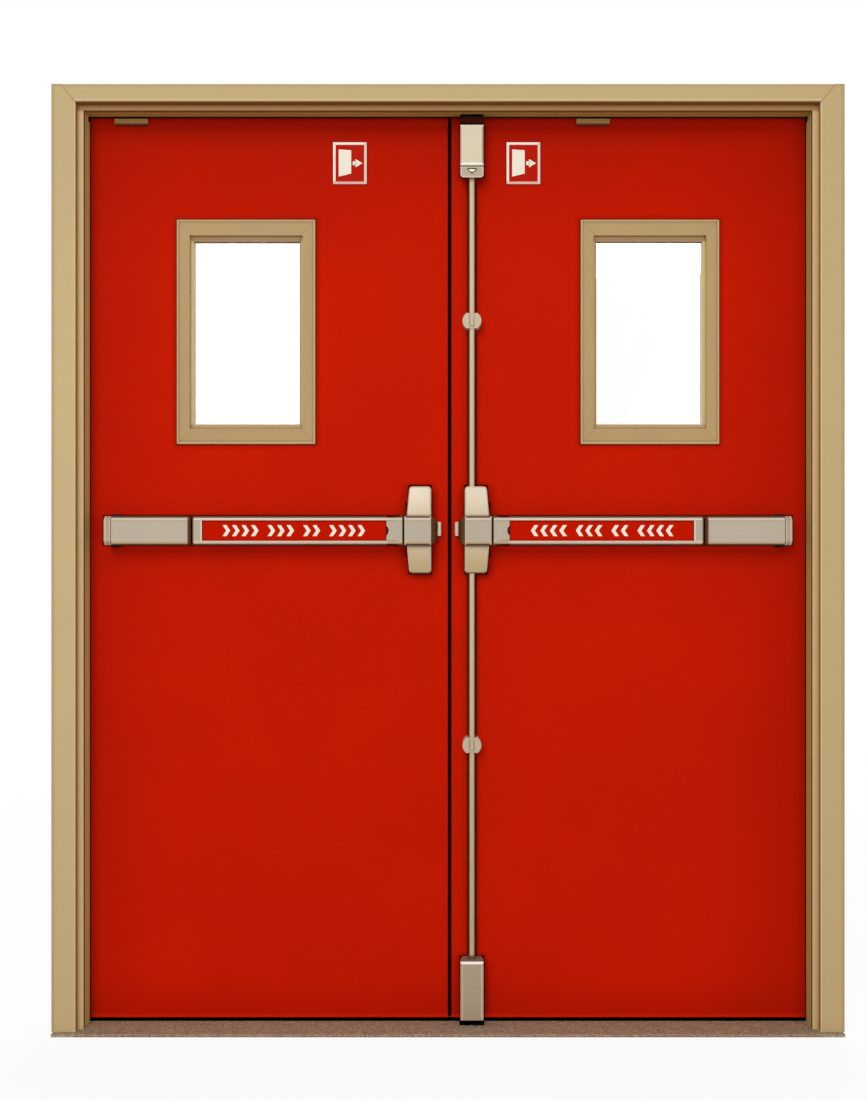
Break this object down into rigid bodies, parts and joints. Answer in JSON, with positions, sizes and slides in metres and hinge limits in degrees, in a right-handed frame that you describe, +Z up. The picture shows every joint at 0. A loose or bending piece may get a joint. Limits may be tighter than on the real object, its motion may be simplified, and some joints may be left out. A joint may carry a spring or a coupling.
{
  "type": "steel utility door",
  "caption": "Steel double-leaf exit door in a stepped steel frame, with glazed vision panels, push bars and a rod latch.",
  "frame": {"origin": "on the threshold's underside, midway between the jambs, in the plane of the frame's front face", "axes": "+X to the right seen from the push side, +Y from the push side to the pull side, +Z up"},
  "size_m": [1.8, 0.153, 2.156],
  "materials": {
    "frame_paint": "satin",
    "threshold_coat": "matte",
    "leaf_paint": "satin",
    "trim_paint": "satin",
    "glass": "satin",
    "hinge_steel": "satin",
    "bolt_steel": "satin",
    "device_paint": "satin",
    "rod_paint": "satin",
    "dark_metal": "satin",
    "red_strip": "satin",
    "sign_plate": "satin",
    "rubber": "matte"
  },
  "bodies": {
    "frame": {"threshold": "threshold_coat", "frame_head": "frame_paint", "frame_seal": "rubber", "head_tabs": "frame_paint", "top_strike": "dark_metal", "left_jamb": "frame_paint", "right_jamb": "frame_paint", "left_frame_hinges": "hinge_steel", "right_frame_hinges": "hinge_steel"},
    "upper_rod": {"upper_rod": "rod_paint"},
    "lower_rod": {"lower_rod": "rod_paint"},
    "left_leaf": {"left_leaf_panel": "leaf_paint", "left_leaf_hinges": "hinge_steel", "left_vision_trim": "trim_paint", "left_vision_glass": "glass", "left_bar_case": "device_paint", "left_bar_end_cap": "device_paint", "left_bar_rail": "dark_metal", "left_block_cover": "device_paint", "left_centre_case": "device_paint", "left_bar_brackets": "dark_metal", "left_sign_plate": "sign_plate", "meeting_seal": "rubber"},
    "left_pad": {"left_push_pad": "device_paint", "left_pad_strip": "red_strip", "left_pad_flare": "device_paint"},
    "left_bolt": {"left_latch_bolt": "bolt_steel"},
    "right_leaf": {"right_leaf_panel": "leaf_paint", "right_leaf_hinges": "hinge_steel", "right_vision_trim": "trim_paint", "right_vision_glass": "glass", "right_bar_case": "device_paint", "right_bar_end_cap": "device_paint", "right_bar_rail": "dark_metal", "right_block_cover": "device_paint", "right_centre_case": "device_paint", "right_bar_brackets": "dark_metal", "right_sign_plate": "sign_plate", "top_latch_cover": "device_paint", "top_latch_base": "device_paint", "bottom_latch_case": "device_paint", "rod_guides": "device_paint"},
    "right_pad": {"right_push_pad": "device_paint", "right_pad_strip": "red_strip", "right_pad_flare": "device_paint"},
    "right_bolt": {"right_latch_bolt": "bolt_steel"}
  },
  "joints": [
    {"name": "left_leaf_hinge", "type": "hinge", "parent": "frame", "child": "left_leaf", "pos_m": [-0.8435, 0.128, 1.075], "axis": [0, 0, 1], "range_deg": [0, 110]},
    {"name": "left_pad_push", "type": "slide", "parent": "left_leaf", "child": "left_pad", "axis": [0, 1, 0], "range_m": [0, 0.012], "stiffness_N_per_m": 2500, "springref_m": -0.01},
    {"name": "left_bolt_slide", "type": "slide", "parent": "left_leaf", "child": "left_bolt", "axis": [-1, 0, 0], "range_m": [0, 0.009]},
    {"name": "right_leaf_hinge", "type": "hinge", "parent": "frame", "child": "right_leaf", "pos_m": [0.8435, 0.128, 1.075], "axis": [0, 0, -1], "range_deg": [0, 110]},
    {"name": "right_pad_push", "type": "slide", "parent": "right_leaf", "child": "right_pad", "axis": [0, 1, 0], "range_m": [0, 0.012], "stiffness_N_per_m": 2500, "springref_m": -0.01},
    {"name": "right_bolt_slide", "type": "slide", "parent": "right_leaf", "child": "right_bolt", "axis": [1, 0, 0], "range_m": [0, 0.009]},
    {"name": "upper_rod_slide", "type": "slide", "parent": "right_leaf", "child": "upper_rod", "axis": [0, 0, -1], "range_m": [0, 0.012]},
    {"name": "lower_rod_slide", "type": "slide", "parent": "right_leaf", "child": "lower_rod", "axis": [0, 0, 1], "range_m": [0, 0.012]}
  ],
  "couplings": [
    {"joint": "left_bolt_slide", "follows": "left_pad_push", "ratio": 0.75},
    {"joint": "right_bolt_slide", "follows": "right_pad_push", "ratio": 0.75},
    {"joint": "upper_rod_slide", "follows": "right_pad_push", "ratio": 1},
    {"joint": "lower_rod_slide", "follows": "right_pad_push", "ratio": 1}
  ]
}
